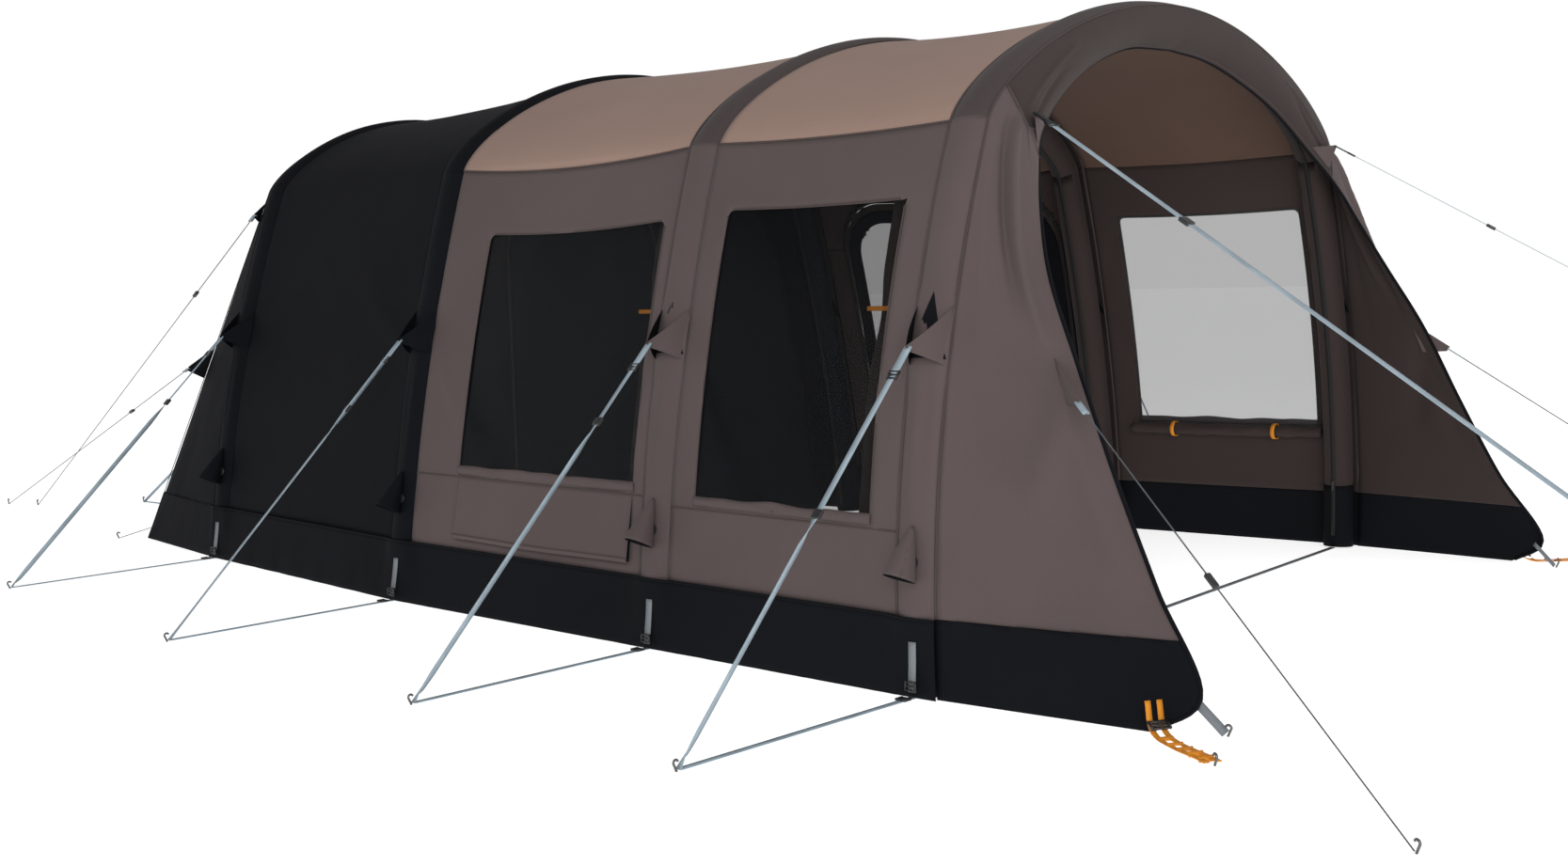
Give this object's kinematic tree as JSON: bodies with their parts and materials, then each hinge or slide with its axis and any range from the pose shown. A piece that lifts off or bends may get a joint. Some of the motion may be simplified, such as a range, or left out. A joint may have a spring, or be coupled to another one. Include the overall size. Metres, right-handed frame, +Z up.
{
  "type": "inflatable tunnel tent",
  "caption": "Family tunnel tent on inflatable arches, with clear side windows, a side door, an open front canopy and guyed straps.",
  "frame": {"origin": "middle of the tent footprint on the ground, guys left aside", "axes": "+X to the right as seen from the open front, +Y from the open front to the bedroom, +Z up"},
  "size_m": [5.0266, 9.9087, 2.12],
  "materials": {
    "taupe_cloth": "matt woven polyester, taupe",
    "sand_cloth": "matt woven polyester, sand brown",
    "sleeve_cloth": "matt woven polyester, dark grey brown",
    "black_cloth": "matt woven polyester, black",
    "clear_film": "clear film, glossy, seen dark against the inside",
    "beam_tube": "polyester sleeve over an inflated tube",
    "valve_plastic": "moulded, satin",
    "webbing": "flat woven webbing, light blue grey",
    "rope": "thin braided cord, dark",
    "buckle_plastic": "moulded, satin black",
    "inner_cloth": "light breathable polyester, navy",
    "groundsheet": "woven polyethylene, dull"
  },
  "bodies": {
    "tent_shell": {"air_beam_1": "beam_tube", "air_beam_2": "beam_tube", "air_beam_3": "beam_tube", "air_beam_4": "beam_tube", "beam_sleeve_1": "sleeve_cloth", "beam_sleeve_2": "sleeve_cloth", "beam_sleeve_3": "black_cloth", "beam_sleeve_4": "black_cloth", "window_left_front": "clear_film", "window_left_middle": "clear_film", "window_right_front": "clear_film", "wall_left_front": "taupe_cloth", "wall_left_middle": "taupe_cloth", "wall_right_front": "taupe_cloth", "wall_right_middle": "taupe_cloth", "roof_front": "sand_cloth", "roof_middle": "sand_cloth", "bedroom_fly": "black_cloth", "rear_wall": "black_cloth", "wing_left": "taupe_cloth", "wing_right": "taupe_cloth", "hood": "sleeve_cloth", "mud_flap_rear": "black_cloth", "mud_flap_left": "black_cloth", "mud_flap_right": "black_cloth", "inner_tent": "inner_cloth", "groundsheet": "groundsheet", "guy_left_1": "webbing", "guy_left_2": "webbing", "guy_left_3": "webbing", "guy_left_4": "webbing", "guy_right_1": "webbing", "guy_right_2": "webbing", "guy_right_3": "webbing", "guy_right_4": "webbing", "guy_hood_left": "webbing", "guy_wing_left": "rope", "guy_rear_high_left": "rope", "guy_rear_corner_left": "rope", "guy_rear_middle_left": "webbing", "guy_hood_right": "webbing", "guy_wing_right": "rope", "guy_rear_high_right": "rope", "guy_rear_corner_right": "rope", "guy_rear_middle_right": "webbing", "threshold_strap": "webbing"},
    "side_door": {"side_door": "taupe_cloth", "side_door_window": "clear_film"},
    "vent_flap": {"vent_flap": "taupe_cloth"},
    "inner_door": {"inner_door": "inner_cloth"},
    "valve_cap_1": {"valve_cap_1": "valve_plastic"},
    "valve_cap_2": {"valve_cap_2": "valve_plastic"},
    "valve_cap_3": {"valve_cap_3": "valve_plastic"},
    "valve_cap_4": {"valve_cap_4": "valve_plastic"},
    "runner_left_1": {"runner_left_1": "buckle_plastic"},
    "runner_left_2": {"runner_left_2": "buckle_plastic"},
    "runner_left_3": {"runner_left_3": "buckle_plastic"},
    "runner_left_4": {"runner_left_4": "buckle_plastic"}
  },
  "joints": [
    {"name": "side_door_swing", "type": "hinge", "parent": "tent_shell", "child": "side_door", "pos_m": [1.52778, -0.87045, 0.30691], "axis": [0.1948, 0, -0.9808], "range_deg": [0, 95]},
    {"name": "vent_flap_lift", "type": "hinge", "parent": "tent_shell", "child": "vent_flap", "pos_m": [-1.47629, -0.84609, 0.50213], "axis": [0.067, 0.9978, 0], "range_deg": [0, 75]},
    {"name": "inner_door_swing", "type": "hinge", "parent": "tent_shell", "child": "inner_door", "pos_m": [-0.718, 0.58755, 0.152], "axis": [0, 0, -1], "range_deg": [0, 110]},
    {"name": "valve_cap_turn_1", "type": "hinge", "parent": "tent_shell", "child": "valve_cap_1", "pos_m": [-1.60917, -2.08545, 0.3958], "axis": [-0.9976, 0, 0.0696], "range_deg": [0, 540]},
    {"name": "valve_cap_turn_2", "type": "hinge", "parent": "tent_shell", "child": "valve_cap_2", "pos_m": [-1.53309, -0.98245, 0.39642], "axis": [-0.9924, 0, 0.1231], "range_deg": [0, 540]},
    {"name": "valve_cap_turn_3", "type": "hinge", "parent": "tent_shell", "child": "valve_cap_3", "pos_m": [-1.44125, 0.46455, 0.39691], "axis": [-0.9861, 0, 0.1659], "range_deg": [0, 540]},
    {"name": "valve_cap_turn_4", "type": "hinge", "parent": "tent_shell", "child": "valve_cap_4", "pos_m": [-1.24525, 2.03255, 0.39692], "axis": [-0.986, 0, 0.1666], "range_deg": [0, 540]},
    {"name": "runner_slide_1", "type": "slide", "parent": "tent_shell", "child": "runner_left_1", "axis": [-0.6723, 0.0519, -0.7384], "range_m": [-0.15, 0.35]},
    {"name": "runner_slide_2", "type": "slide", "parent": "tent_shell", "child": "runner_left_2", "axis": [-0.6902, 0.0507, -0.7219], "range_m": [-0.15, 0.35]},
    {"name": "runner_slide_3", "type": "slide", "parent": "tent_shell", "child": "runner_left_3", "axis": [-0.705, 0.0497, -0.7074], "range_m": [-0.15, 0.35]},
    {"name": "runner_slide_4", "type": "slide", "parent": "tent_shell", "child": "runner_left_4", "axis": [-0.7067, 0.0496, -0.7058], "range_m": [-0.15, 0.35]}
  ]
}
